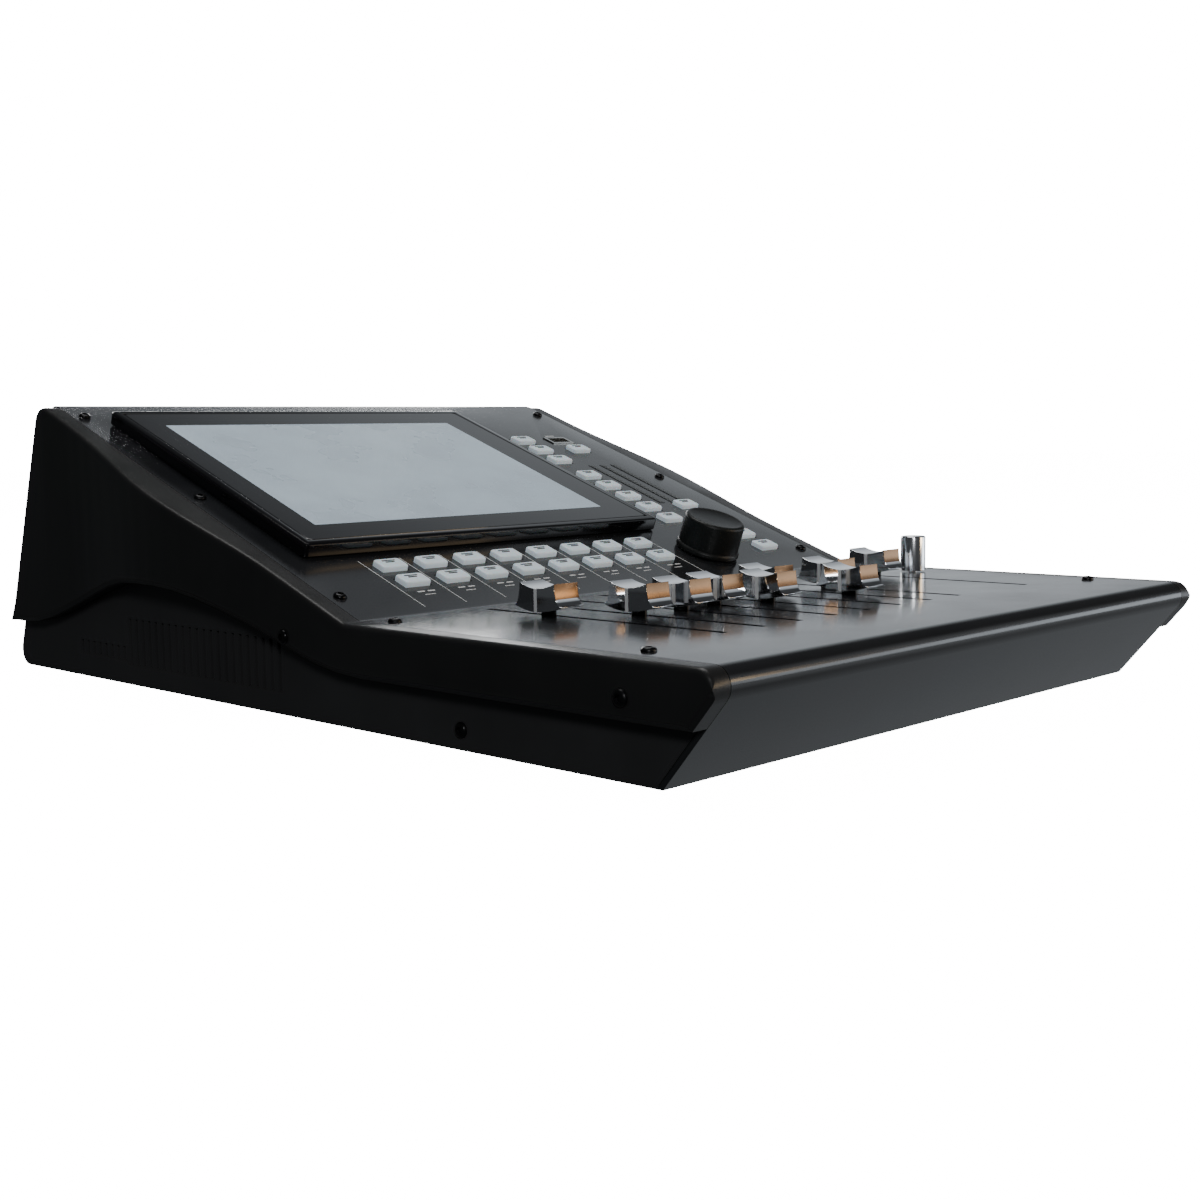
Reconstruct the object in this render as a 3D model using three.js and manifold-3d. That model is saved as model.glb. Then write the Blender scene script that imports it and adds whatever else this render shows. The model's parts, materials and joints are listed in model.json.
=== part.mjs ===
// Stage control desk: a bent top panel over a tray, two moulded side cheeks, a framed display, rows of
// sprung keys, nine long-throw faders, an encoder and a level knob, with the boards and sockets inside.
// Millimetres. X runs to the right, Y from the front to the rear, Z up.
import * as THREE from "three";
import { mergeVertices } from "three/addons/utils/BufferGeometryUtils.js";
import Module from "manifold-3d";

const wasm = await Module();
wasm.setup();

// ---------------------------------------------------------------- driving dimensions

const chassisWidth = 300;
const deckHeight = 41; // the level deck above the tray's underside
const deckDepth = 150; // from the bottom front edge back to the bend into the slope
const slopeLength = 252.2;
const slopeAngle = THREE.MathUtils.degToRad(20.3);
const frontLean = THREE.MathUtils.degToRad(40.3); // the front face leans out by this much from upright
const noseRadius = 6.3;
const bendRadius = 8; // where the deck turns into the slope
const rearRadius = 8; // where the slope turns down at the rear
const rearLip = 18; // how far the top panel comes down behind, from the sharp corner
const tailRadius = 7; // where the rear panel turns under the desk

const sheet = 2;
const wall = 1.5; // tray sheet
const gap = 0.3; // between pieces that rest on each other
const clearance = 0.4; // around each piece that moves in an opening
const footHeight = 3;

const cheekThickness = 8.2;
const cheekBulge = 6.8;
const cheekLow = 21.3; // height of the cheek's lower edge at the front
const cheekHigh = 48.6; // at the top of its wave
const cheekRearInset = 2.7;
const wave = { rise: [142, 278], fall: [296, 412], rear: 23.2 }; // where that edge rises and falls
const swell = [195, 355]; // where the cheek swells out beside the display

// Cooling slots, in a tall group and a short one behind it.
const vents = [
  { first: 204, count: 22, low: 9.3, high: 30 },
  { first: 328, count: 8, low: 11, high: 17 },
];
const vent = { pitch: 5.6, width: 2.2 };

const display = { x: -36.5, s: 137.2, width: 168, depth: 123 }; // the lit area, on the slope
const bezelBorder = 19.5;
const bezelShift = { x: 2.7, s: 0.9 }; // its borders are not all of one width
const bezelHeight = 6.5;
const glassThickness = 1.8;
const moduleRim = 2.5; // the display module beyond its lit area

const key = { width: 13, depth: 8.3, above: 2.2, below: 3, travel: 1.5 };
const keyRow = 15.3; // from one row of keys to the next
const channelKeys = { x: -104.2, pitch: 21.1, count: 8, s: 28 };
const sideKeys = { x: 92.8, s: 69.1, lower: 5, upper: 3, upperShift: 8.4 };
const auxKeyX = 121.4;

const fader = { x: -93.4, pitch: 21, count: 8, y: 82.5, travel: 100, slot: 3 };
const mainFaderX = 107;
const faderRest = [26, -1, -3.5, -2, -12, 5.5, -21.5, 4.5, 17.5]; // each cap from its middle position
const cap = { length: 25.7, endWidth: 11.7, midWidth: 14, low: 1.7, high: 12.6, dip: 2.1, scoop: 3.4 };
const stem = { width: 1.6, length: 7, depth: 7.5 };

const encoder = { x: 77.8, s: 29, radius: 15.5, height: 17.5, shaft: 3, bush: 4.5 };
const levelKnob = { x: 134, y: 96.5, radius: 5.8, height: 17, shaft: 2 };
const meter = { x: 118, s: 118, pitch: 8.5, bars: 3, width: 3.4, length: 56 };
const dataPort = { x: 120.6, s: 185, width: 12.6, depth: 6.2, rim: 1.6, length: 12 };

const rearSocketH = -72; // height of the rear fittings, measured down from the slope's surface
const outlet = { x: -110, pitch: 34, radius: 11.5, flangeWidth: 26, flangeHeight: 31, depth: 20 };
const network = { x: -30, width: 16, height: 14, depth: 14, mouthWidth: 12, mouthHeight: 8.6 };
const inlet = { x: 95, width: 60, height: 29, depth: 17, mouthWidth: 23.6, mouthHeight: 17 };
const rocker = { width: 12, height: 20, depth: 9, tilt: THREE.MathUtils.degToRad(6), offset: 17 };
const flange = 2;

const board = 1.6; // circuit board

// ---------------------------------------------------------------- solids

function toSolid(geometry) {
  const bare = new THREE.BufferGeometry();
  const source = geometry.index ? geometry.toNonIndexed() : geometry;
  bare.setAttribute("position", source.getAttribute("position"));
  const merged = mergeVertices(bare, 1e-4);
  return new wasm.Manifold(
    new wasm.Mesh({
      numProp: 3,
      vertProperties: new Float32Array(merged.attributes.position.array),
      triVerts: new Uint32Array(merged.index.array),
    }),
  );
}

function toGeometry(solid) {
  const mesh = solid.getMesh();
  const geometry = new THREE.BufferGeometry();
  const places = new Float32Array(mesh.numVert * 3);
  for (let i = 0; i < mesh.numVert; i++) {
    places.set(mesh.vertProperties.subarray(i * mesh.numProp, i * mesh.numProp + 3), i * 3);
  }
  geometry.setAttribute("position", new THREE.BufferAttribute(places, 3));
  geometry.setIndex(new THREE.BufferAttribute(mesh.triVerts, 1));
  geometry.computeVertexNormals();
  return geometry;
}

function joined(first, ...others) {
  return toGeometry(others.reduce((sum, piece) => sum.add(toSolid(piece)), toSolid(first)));
}

function cut(body, ...tools) {
  return toGeometry(tools.reduce((left, tool) => left.subtract(toSolid(tool)), toSolid(body)));
}

function shared(first, second) {
  return toGeometry(toSolid(first).intersect(toSolid(second)));
}

// A box between two heights, centred on x and y.
function block(x, y, width, depth, low, high) {
  return new THREE.BoxGeometry(width, depth, high - low).translate(x, y, (low + high) / 2);
}

// A round bar along Z between two heights.
function bar(x, y, radius, low, high, sides = 24) {
  const bare = new THREE.CylinderGeometry(radius, radius, high - low, sides);
  return bare.rotateX(Math.PI / 2).translate(x, y, (low + high) / 2);
}

// A body turned about Z from [radius, height] pairs, which run from the bottom of the axis to its top.
function turned(pairs, sides) {
  const profile = pairs.map(([radius, height]) => new THREE.Vector2(radius, height));
  return new THREE.LatheGeometry(profile, sides).rotateX(Math.PI / 2);
}

// A flat outline in X and Y, extruded up Z.
function plate(points, low, high) {
  const bare = new THREE.ExtrudeGeometry(new THREE.Shape(points), {
    depth: high - low,
    bevelEnabled: false,
  });
  return bare.translate(0, 0, low);
}

// An outline in Y and Z, extruded along X.
const sideways = new THREE.Matrix4().makeBasis(
  new THREE.Vector3(0, 1, 0),
  new THREE.Vector3(0, 0, 1),
  new THREE.Vector3(1, 0, 0),
);
function sidePlate(points, left, right) {
  return plate(points, left, right).applyMatrix4(sideways);
}

function roundedRectangle(width, depth, radius) {
  const shape = new THREE.Shape();
  const [x, y] = [width / 2, depth / 2];
  shape.moveTo(radius - x, -y);
  shape.lineTo(x - radius, -y).absarc(x - radius, radius - y, radius, -Math.PI / 2, 0);
  shape.lineTo(x, y - radius).absarc(x - radius, y - radius, radius, 0, Math.PI / 2);
  shape.lineTo(radius - x, y).absarc(radius - x, y - radius, radius, Math.PI / 2, Math.PI);
  shape.lineTo(-x, radius - y).absarc(radius - x, radius - y, radius, Math.PI, Math.PI * 1.5);
  return shape;
}

// A block with rounded corners and a bevel of the given size round its top and bottom.
function softBlock(width, depth, low, high, radius, bevel, steps = 2) {
  const bare = new THREE.ExtrudeGeometry(roundedRectangle(width, depth, radius), {
    depth: high - low - 2 * bevel,
    bevelThickness: bevel,
    bevelSize: bevel,
    bevelOffset: -bevel,
    bevelSegments: 1,
    curveSegments: steps,
  });
  return bare.translate(0, 0, low + bevel);
}

// ---------------------------------------------------------------- the desk's side profile

// The profile is five straight lines in Y and Z, walked from the bottom front edge up the front, back over
// the top and down the rear, so that the inside is always on the right.
const line = (y, z, alongY, alongZ) => ({
  point: new THREE.Vector2(y, z),
  along: new THREE.Vector2(alongY, alongZ).normalize(),
});
const slopeAt = (s) =>
  new THREE.Vector2(deckDepth + s * Math.cos(slopeAngle), deckHeight + s * Math.sin(slopeAngle));
const rearTop = slopeAt(slopeLength);
const baseLine = line(0, 0, -1, 0);
const frontLine = line(0, 0, -Math.sin(frontLean), Math.cos(frontLean));
const deckLine = line(deckDepth, deckHeight, 1, 0);
const slopeLine = line(deckDepth, deckHeight, Math.cos(slopeAngle), Math.sin(slopeAngle));
const rearLine = line(rearTop.x, rearTop.y, Math.sin(slopeAngle), -Math.cos(slopeAngle));
const lipEnd = rearTop.clone().addScaledVector(rearLine.along, rearLip);
const lipLine = (below) => {
  const point = lipEnd.clone().addScaledVector(rearLine.along, below);
  return { point, along: slopeLine.along.clone().negate() };
};

function inside(edge, distance) {
  const right = new THREE.Vector2(edge.along.y, -edge.along.x);
  return { point: edge.point.clone().addScaledVector(right, distance), along: edge.along };
}

function meeting(first, second) {
  const apart = second.point.clone().sub(first.point);
  const way = apart.cross(second.along) / first.along.cross(second.along);
  return first.point.clone().addScaledVector(first.along, way);
}

// The rounded corner between two lines: a list of points on an arc.
function corner(first, second, radius, steps) {
  const turn = Math.atan2(first.along.cross(second.along), first.along.dot(second.along));
  const side = Math.sign(turn);
  const start = meeting(first, second).addScaledVector(
    first.along,
    -radius * Math.tan(Math.abs(turn) / 2),
  );
  const toCentre = new THREE.Vector2(-first.along.y, first.along.x).multiplyScalar(side * radius);
  const centre = start.clone().add(toCentre);
  return Array.from({ length: steps + 1 }, (_, i) =>
    start.clone().rotateAround(centre, (turn * i) / steps),
  );
}

// The walk over the top, at a distance inside the outer surface, between two end lines.
function overTop(inset, rearInset, startLine, endLine) {
  const front = inside(frontLine, inset);
  const deck = inside(deckLine, inset);
  const slope = inside(slopeLine, inset);
  const rear = inside(rearLine, rearInset);
  return [
    meeting(startLine, front),
    ...corner(front, deck, noseRadius - inset, 9),
    ...corner(deck, slope, bendRadius + inset, 3),
    ...corner(slope, rear, rearRadius - inset, 5),
    meeting(rear, endLine),
  ];
}

const noseTip = Math.min(...overTop(0, 0, baseLine, baseLine).map((p) => p.x));
const rearFoot = meeting(rearLine, baseLine).x;

// The bend at the bottom of the rear panel, at a distance inside its outer surface.
const tail = (inset) =>
  corner(inside(rearLine, inset), inside(baseLine, inset), tailRadius - inset, 5);
const tailEnd = tail(0).at(-1).x;
const middleY = (noseTip + Math.max(...tail(0).map((p) => p.x))) / 2;
const halfChassis = chassisWidth / 2;

// Places a cutter, made on the slope's own axes, on the desk.
const slopeFrame = new THREE.Matrix4()
  .makeTranslation(0, deckDepth, deckHeight)
  .multiply(new THREE.Matrix4().makeRotationX(slopeAngle));
const onSlope = (geometry) => geometry.applyMatrix4(slopeFrame);

// ---------------------------------------------------------------- where the controls are

const faders = Array.from({ length: fader.count + 1 }, (_, i) => ({
  name: i < fader.count ? `fader_cap_${i + 1}` : "main_fader_cap",
  x: i < fader.count ? fader.x + i * fader.pitch : mainFaderX,
  y: fader.y + faderRest[i],
}));

const keys = [];
for (let i = 0; i < channelKeys.count; i++) {
  const x = channelKeys.x + i * channelKeys.pitch;
  keys.push({ name: `lower_key_${i + 1}`, x, s: channelKeys.s });
  keys.push({ name: `upper_key_${i + 1}`, x, s: channelKeys.s + keyRow });
}
for (let i = 0; i < sideKeys.lower + sideKeys.upper; i++) {
  const shift = i < sideKeys.lower ? 0 : sideKeys.upperShift;
  keys.push({ name: `side_key_${i + 1}`, x: sideKeys.x, s: sideKeys.s + i * keyRow + shift });
}
keys.push({ name: "aux_key_1", x: auxKeyX, s: sideKeys.s + keyRow });
keys.push({ name: "aux_key_2", x: auxKeyX, s: sideKeys.s + 6 * keyRow + sideKeys.upperShift });
keys.push({ name: "main_key_lower", x: auxKeyX, s: channelKeys.s });
keys.push({ name: "main_key_upper", x: auxKeyX, s: channelKeys.s + keyRow });

const meterBars = Array.from(
  { length: meter.bars },
  (_, i) => meter.x + (i - (meter.bars - 1) / 2) * meter.pitch,
);

const moduleWidth = display.width + 2 * moduleRim;
const moduleDepth = display.depth + 2 * moduleRim;
const slotLength = fader.travel + stem.length + 14;
const through = 10; // cutters reach this far past a sheet

// ---------------------------------------------------------------- casing

function topPanel() {
  const outer = overTop(0, 0, baseLine, lipLine(0));
  const inner = overTop(sheet, sheet, baseLine, lipLine(0)).reverse();
  const slots = faders.map(({ x }) =>
    block(x, fader.y, fader.slot, slotLength, deckHeight - through, deckHeight + 1),
  );
  const knobHole = bar(
    levelKnob.x, levelKnob.y, levelKnob.shaft + clearance, deckHeight - through, deckHeight + 1,
  );
  const keyHoles = keys.map(({ x, s }) =>
    onSlope(block(x, s, key.width + 2 * clearance, key.depth + 2 * clearance, -through, 1)),
  );
  const meterSlots = meterBars.map((x) =>
    onSlope(block(x, meter.s, meter.width + 2 * gap, meter.length + 2 * gap, -through, 1)),
  );
  const openings = [
    block(display.x, display.s, moduleWidth + 2 * gap, moduleDepth + 2 * gap, -through, 1),
    bar(encoder.x, encoder.s, encoder.bush, -through, 1),
    block(
      dataPort.x, dataPort.s, dataPort.width + 2 * (dataPort.rim + gap),
      dataPort.depth + 2 * (dataPort.rim + gap), -through, 1,
    ),
  ].map(onSlope);
  const body = sidePlate([...outer, ...inner], -halfChassis, halfChassis);
  return cut(body, ...slots, knobHole, ...keyHoles, ...meterSlots, ...openings);
}

// The cheek's lower edge rises into a wave over the cooling slots and falls again towards the rear.
function cheekEdge(y) {
  const up = THREE.MathUtils.smoothstep(y, ...wave.rise);
  const down = THREE.MathUtils.smoothstep(y, ...wave.fall);
  return cheekLow + (cheekHigh - cheekLow) * up - (cheekHigh - wave.rear) * down;
}

// The cheek is its side outline, as thick as its plan outline, which swells out beside the display.
function cheek() {
  const startLine = line(0, cheekLow, -1, 0);
  const endLine = line(0, wave.rear, -1, 0);
  const edge = [];
  const steps = 18;
  for (let i = 1; i < steps; i++) {
    const y = THREE.MathUtils.lerp(wave.fall[1], wave.rise[0], i / steps);
    edge.push(new THREE.Vector2(y, cheekEdge(y)));
  }
  const outline = [
    ...overTop(0, cheekRearInset, startLine, endLine),
    new THREE.Vector2(wave.fall[1], wave.rear),
    ...edge,
    new THREE.Vector2(wave.rise[0], cheekLow),
  ];
  const side = sidePlate(outline, -1, cheekThickness + cheekBulge + 1);
  const plan = [new THREE.Vector2(0, rearFoot + 1), new THREE.Vector2(0, noseTip - 1)];
  plan.push(new THREE.Vector2(cheekThickness, noseTip - 1));
  for (let i = 0; i <= 14; i++) {
    const y = THREE.MathUtils.lerp(swell[0], swell[1], i / 14);
    const out = cheekBulge * Math.sin((Math.PI * i) / 14) ** 2;
    plan.push(new THREE.Vector2(cheekThickness + out, y));
  }
  plan.push(new THREE.Vector2(cheekThickness, rearFoot + 1));
  return shared(side, plate(plan, 0, rearTop.y + 10)).translate(halfChassis + gap, 0, 0);
}

// The tray's floor ends where the rear panel turns under it. The cooling slots go through both walls.
function chassisTray() {
  const inset = sheet + gap;
  const outline = [
    ...overTop(inset, inset, baseLine, baseLine).slice(0, -1),
    ...tail(inset),
    new THREE.Vector2(tailEnd - gap, inset),
    new THREE.Vector2(tailEnd - gap, 0),
  ];
  const body = sidePlate(outline, -halfChassis, halfChassis);
  const inner = chassisWidth - 2 * wall;
  const hollow = block(0, middleY, inner, 2 * (rearFoot - noseTip), wall, 2 * rearTop.y);
  const slots = vents.flatMap(({ first, count, low, high }) =>
    Array.from({ length: count }, (_, i) =>
      block(0, first + i * vent.pitch, chassisWidth + 10, vent.width, low, high),
    ),
  );
  return cut(body, hollow, ...slots);
}

const outletXs = [outlet.x, outlet.x + outlet.pitch];

// Rear fittings are made facing up Z round their own centre, then turned to face out of the rear panel.
const rearFrame = new THREE.Matrix4()
  .makeTranslation(0, slopeLength, rearSocketH)
  .multiply(new THREE.Matrix4().makeBasis(
    new THREE.Vector3(-1, 0, 0),
    new THREE.Vector3(0, 0, 1),
    new THREE.Vector3(0, 1, 0),
  ));
const onRear = (geometry, x) => geometry.applyMatrix4(rearFrame).translate(x, 0, 0);

function rearPanel() {
  const top = lipLine(gap);
  const inner = inside(rearLine, sheet);
  const outline = [
    meeting(rearLine, top),
    ...tail(0),
    ...tail(sheet).reverse(),
    meeting(inner, top),
  ];
  const holes = [
    ...outletXs.map((x) => onRear(bar(0, 0, outlet.radius + gap, -through, 1), x)),
    onRear(block(0, 0, network.width + 2 * gap, network.height + 2 * gap, -through, 1), network.x),
    onRear(block(0, 0, inlet.width - 6 + 2 * gap, inlet.height - 6 + 2 * gap, -through, 1), inlet.x),
  ].map(onSlope);
  return cut(sidePlate(outline, -halfChassis, halfChassis), ...holes);
}

function foot() {
  return softBlock(chassisWidth * 0.7, 12, 0, footHeight - gap, 5, 0.5);
}

// ---------------------------------------------------------------- display

const glassLow = bezelHeight - glassThickness;
const recess = 2.4; // bezel rim round the glass

function displayBezel() {
  const width = display.width + 2 * bezelBorder;
  const depth = display.depth + 2 * bezelBorder;
  const body = softBlock(width, depth, gap, bezelHeight, 2, 0.7);
  const seat = block(0, 0, width - 2 * recess - 3, depth - 2 * recess - 3, glassLow - gap, through);
  const opening = block(
    -bezelShift.x, -bezelShift.s, moduleWidth + 2 * gap, moduleDepth + 2 * gap, -1, through,
  );
  return cut(body, seat, opening);
}

function displayGlass() {
  const width = display.width + 2 * bezelBorder - 2 * recess - 3 - 2 * gap;
  const depth = display.depth + 2 * bezelBorder - 2 * recess - 3 - 2 * gap;
  return block(0, 0, width, depth, glassLow, bezelHeight);
}

function displayModule() {
  return block(0, 0, moduleWidth, moduleDepth, -9, glassLow - gap);
}

// ---------------------------------------------------------------- controls

const boardTop = -(key.below + 3.5 + key.travel + clearance); // key board, down from the slope

function keyBody() {
  const capBody = softBlock(key.width, key.depth, -key.below, key.above, 1.4, 0.5, 1);
  return joined(capBody, block(0, 0, 4, 4, -key.below - 3.5, 0));
}

// A hexagonal cap, widest in the middle, sagging like a saddle, with scooped ends, on a flat stem.
function faderCap() {
  const half = cap.length / 2;
  const { low, high, dip, scoop } = cap;
  const [tip, waist] = [low + dip, (low + high) / 2];
  const side = new THREE.Shape();
  side.moveTo(-half, tip).quadraticCurveTo(0, low - dip, half, tip);
  side.quadraticCurveTo(half - scoop, waist, half - scoop, high);
  side.quadraticCurveTo(0, high - 2 * dip, scoop - half, high);
  side.quadraticCurveTo(scoop - half, waist, -half, tip);
  const body = sidePlate(side.getPoints(4), -cap.midWidth, cap.midWidth);
  const [end, middle] = [cap.endWidth / 2, cap.midWidth / 2];
  const right = [[end, -half - 1], [middle, 0], [end, half + 1]];
  const left = right.map(([x, y]) => [-x, -y]);
  const plan = plate([...right, ...left].map(([x, y]) => new THREE.Vector2(x, y)), 0, high + 1);
  const blade = block(0, 0, stem.width, stem.length, -sheet - stem.depth, low + 1);
  return joined(shared(body, plan), blade);
}

function encoderKnob() {
  const { radius, height, shaft } = encoder;
  return turned(
    [
      [0, boardTop + 1], [shaft, boardTop + 1], [shaft, 1], [radius, 1], [radius, 3],
      [radius - 0.8, 3.6], [radius - 0.8, height - 1.2], [radius - 2, height], [0, height - 0.6],
    ],
    28,
  );
}

function levelKnobBody() {
  const { radius, height, shaft } = levelKnob;
  return turned(
    [
      [0, -sheet - 6], [shaft, -sheet - 6], [shaft, 0.6], [radius, 0.6],
      [radius, height - 0.6], [radius - 0.6, height], [0, height],
    ],
    20,
  );
}

function meterWindow() {
  const width = (meter.bars - 1) * meter.pitch + meter.width + 4;
  const low = -sheet - gap - 1.5;
  const base = block(0, 0, width, meter.length + 2, low, -sheet - gap);
  const bars = meterBars.map((x) => block(x - meter.x, 0, meter.width, meter.length, low + 0.5, 0.2));
  return joined(base, ...bars);
}

function dataSocket() {
  const { width, depth, rim, length } = dataPort;
  const shell = block(0, 0, width + 2 * rim, depth + 2 * rim, -length, 0.6);
  return cut(shell, block(0, 0, width, depth, 1.5 - length, 2));
}

// ---------------------------------------------------------------- boards and rear fittings

// The key board is L-shaped, passes round the data socket and carries the encoder's body.
function keyBoard() {
  const low = boardTop - board;
  const right = 130;
  const split = display.x + moduleWidth / 2 + 8;
  const front = block((right - 125) / 2, 37, right + 125, 44, low, boardTop);
  const column = block((right + split) / 2, 117, right - split, 200, low, boardTop);
  const shell = block(encoder.x, encoder.s, 14, 13, boardTop - 0.5, -sheet - gap);
  const posts = [[-118, 18], [split + 4, 210], [118, 52], [126, 210], [60, 52]].map(([x, s]) =>
    block(x, s, 5, 5, boardTop - 0.5, -sheet - gap),
  );
  const bore = bar(encoder.x, encoder.s, encoder.shaft + clearance, boardTop + 0.5, 1);
  const pass = block(
    dataPort.x, dataPort.s, dataPort.width + 2 * (dataPort.rim + gap),
    dataPort.depth + 2 * (dataPort.rim + gap), low - 1, 0,
  );
  return cut(joined(front, column, shell, ...posts), bore, pass);
}

const bankTop = deckHeight - sheet - gap;
const trackHeight = 12;

// The fader bank is a board on legs, with a track under each slot and the level knob's potentiometer.
function faderBank() {
  const low = bankTop - trackHeight;
  const left = faders[0].x - 10;
  const right = levelKnob.x + 9;
  const middle = (left + right) / 2;
  const base = block(middle, fader.y, right - left, slotLength + 6, low - board, low + 0.2);
  const tracks = faders.map(({ x }) => block(x, fader.y, 11, slotLength, low, bankTop));
  const pot = block(levelKnob.x, levelKnob.y, 12, 12, low, bankTop);
  const legs = [[left + 4, 4], [right - 4, 4], [left + 4, -4], [right - 4, -4]].map(([x, side]) =>
    block(x, fader.y + side * 14, 6, 6, wall + gap, low),
  );
  const slots = faders.map(({ x }) =>
    block(x, fader.y, stem.width + 2 * clearance, slotLength - 10, bankTop - stem.depth - 1, bankTop + 1),
  );
  const bore = bar(levelKnob.x, levelKnob.y, levelKnob.shaft + clearance, low + 2, bankTop + 1);
  return cut(joined(base, ...tracks, pot, ...legs), ...slots, bore);
}

function mainBoard() {
  const low = wall + 6;
  const base = block(0, 0, 150, 130, low, low + board);
  const chips = [[-40, 30, 30], [10, 20, 24], [45, -30, 20], [-30, -35, 18]].map(([x, y, size]) =>
    block(x, y, size, size, low, low + board + 3),
  );
  const legs = [[-70, -60], [70, -60], [-70, 60], [70, 60]].map(([x, y]) =>
    block(x, y, 6, 6, wall + gap, low + 0.5),
  );
  return joined(base, ...chips, ...legs);
}

function powerSupply() {
  const low = wall + gap;
  const base = block(0, 0, 62, 110, low, low + 3);
  const can = block(0, 12, 50, 70, low, low + 34);
  const coil = block(-4, -38, 34, 24, low, low + 26);
  return joined(base, can, coil);
}

// A round output socket on a square flange: a ring groove takes the plug's shell.
function outputSocket() {
  const { radius, flangeWidth, flangeHeight, depth } = outlet;
  const face = softBlock(flangeWidth, flangeHeight, gap, gap + flange, 3, 0.4);
  const groove = turned([[7.4, -12], [9.6, -12], [9.6, 5], [7.4, 5], [7.4, -12]], 16);
  return cut(joined(face, bar(0, 0, radius, -depth, gap + 0.5, 28)), groove);
}

function networkSocket() {
  const { width, height, depth, mouthWidth, mouthHeight } = network;
  const face = block(0, 0, width + 6, height + 6, gap, gap + 1);
  const body = block(0, 0, width, height, -depth, gap + 0.5);
  return cut(joined(face, body), block(0, 0, mouthWidth, mouthHeight, 3 - depth, 5));
}

const rockerX = inlet.width / 2 - rocker.offset + 2;
const mouthX = -inlet.width / 2 + inlet.mouthWidth / 2 + 6;

function mainsInlet() {
  const { width, height, depth, mouthWidth, mouthHeight } = inlet;
  const face = softBlock(width, height, gap, gap + flange, 3, 0.4);
  const body = block(0, 0, width - 6, height - 6, -depth, gap + 0.5);
  const mouth = block(mouthX, 0, mouthWidth, mouthHeight, 2.5 - depth, 5);
  const well = block(
    rockerX, 0, rocker.width + 2 * clearance, rocker.height + 3 * clearance, 1.5 - depth, 5,
  );
  return cut(joined(face, body), mouth, well);
}

// The rocker is a shallow wedge that turns about the line across its middle.
function powerRocker() {
  const half = rocker.height / 2;
  const outline = [[-half, -2], [half, -2], [half, 2.4], [0, 1.2], [-half, 2.4]];
  const points = outline.map(([y, z]) => new THREE.Vector2(y, z));
  const pivot = block(0, 0, 5, 5, -rocker.depth, 0);
  return joined(sidePlate(points, -rocker.width / 2, rocker.width / 2), pivot);
}

// ---------------------------------------------------------------- the assembly

const paint = (color, roughness, metalness = 0) => ({ color, roughness, metalness });
const looks = {
  panel: paint(0x202224, 0.3),
  tray: paint(0x17181a, 0.5),
  cheek: paint(0x141516, 0.55),
  bezel: paint(0x0b0c0d, 0.15),
  glass: paint(0x5b6670, 0.08),
  module: paint(0x8fa0b4, 0.4),
  key: paint(0xdfe6ea, 0.45),
  chrome: paint(0xd8dade, 0.1, 1),
  knob: paint(0x101112, 0.5),
  board: paint(0x1f5a36, 0.6),
  steel: paint(0xa8abb0, 0.35, 1),
  socket: paint(0x1c1d1f, 0.5),
  smoke: paint(0x2a2d31, 0.2),
  rubber: paint(0x1a1a1a, 0.9),
};

const desk = new THREE.Group();
desk.position.set(0, -middleY, footHeight);
const slope = new THREE.Group();
slope.position.set(0, deckDepth, deckHeight);
slope.rotation.x = slopeAngle;
desk.add(slope);

function add(parent, name, look, geometry, x = 0, y = 0, z = 0) {
  const mesh = new THREE.Mesh(geometry, new THREE.MeshStandardMaterial(looks[look]));
  mesh.name = name;
  mesh.position.set(x, y, z);
  parent.add(mesh);
  return mesh;
}

function addBehind(name, look, geometry, x) {
  return add(slope, name, look, onRear(geometry, 0), x);
}

add(desk, "top_panel", "panel", topPanel());
add(desk, "chassis_tray", "tray", chassisTray());
add(desk, "rear_panel", "tray", rearPanel());
add(desk, "right_cheek", "cheek", cheek());
add(desk, "left_cheek", "cheek", cheek()).scale.x = -1;
add(desk, "front_foot", "rubber", foot(), 0, 45, -footHeight);
add(desk, "rear_foot", "rubber", foot(), 0, rearFoot - 45, -footHeight);

const [bezelX, bezelS] = [display.x + bezelShift.x, display.s + bezelShift.s];
add(slope, "display_bezel", "bezel", displayBezel(), bezelX, bezelS);
add(slope, "display_glass", "glass", displayGlass(), bezelX, bezelS);
add(slope, "display_module", "module", displayModule(), display.x, display.s);

for (const { name, x, s } of keys) add(slope, name, "key", keyBody(), x, s);
for (const { name, x, y } of faders) add(desk, name, "chrome", faderCap(), x, y, deckHeight);
add(slope, "encoder_knob", "knob", encoderKnob(), encoder.x, encoder.s);
add(desk, "level_knob", "chrome", levelKnobBody(), levelKnob.x, levelKnob.y, deckHeight);
add(slope, "meter_window", "smoke", meterWindow(), meter.x, meter.s);
add(slope, "data_port", "steel", dataSocket(), dataPort.x, dataPort.s);

add(slope, "key_board", "board", keyBoard());
add(desk, "fader_bank", "board", faderBank());
add(desk, "main_board", "board", mainBoard(), -40, 260);
add(desk, "power_supply", "steel", powerSupply(), 95, 300);

outletXs.forEach((x, i) => addBehind(`output_socket_${i + 1}`, "socket", outputSocket(), x));
addBehind("network_socket", "steel", networkSocket(), network.x);
addBehind("mains_inlet", "socket", mainsInlet(), inlet.x);
const rockerMesh = addBehind("power_rocker", "socket", powerRocker().rotateX(rocker.tilt), inlet.x);
rockerMesh.position.x -= rockerX;

export default desk;
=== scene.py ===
# %% [markdown]
# # A stage control desk
# This lesson dresses a finished solid model in Blender. The desk has a bent top panel with a level deck of
# faders and a slope with a framed display, rows of pale keys, one large knob and slim meters. Two moulded
# cheeks close its sides. The solids arrive as a fixed frame, and every piece made here rides on one of them.

# %% Load the frame
import json
import math

import bmesh
import bpy
from mathutils import Matrix, Vector
from mathutils.bvhtree import BVHTree


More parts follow.
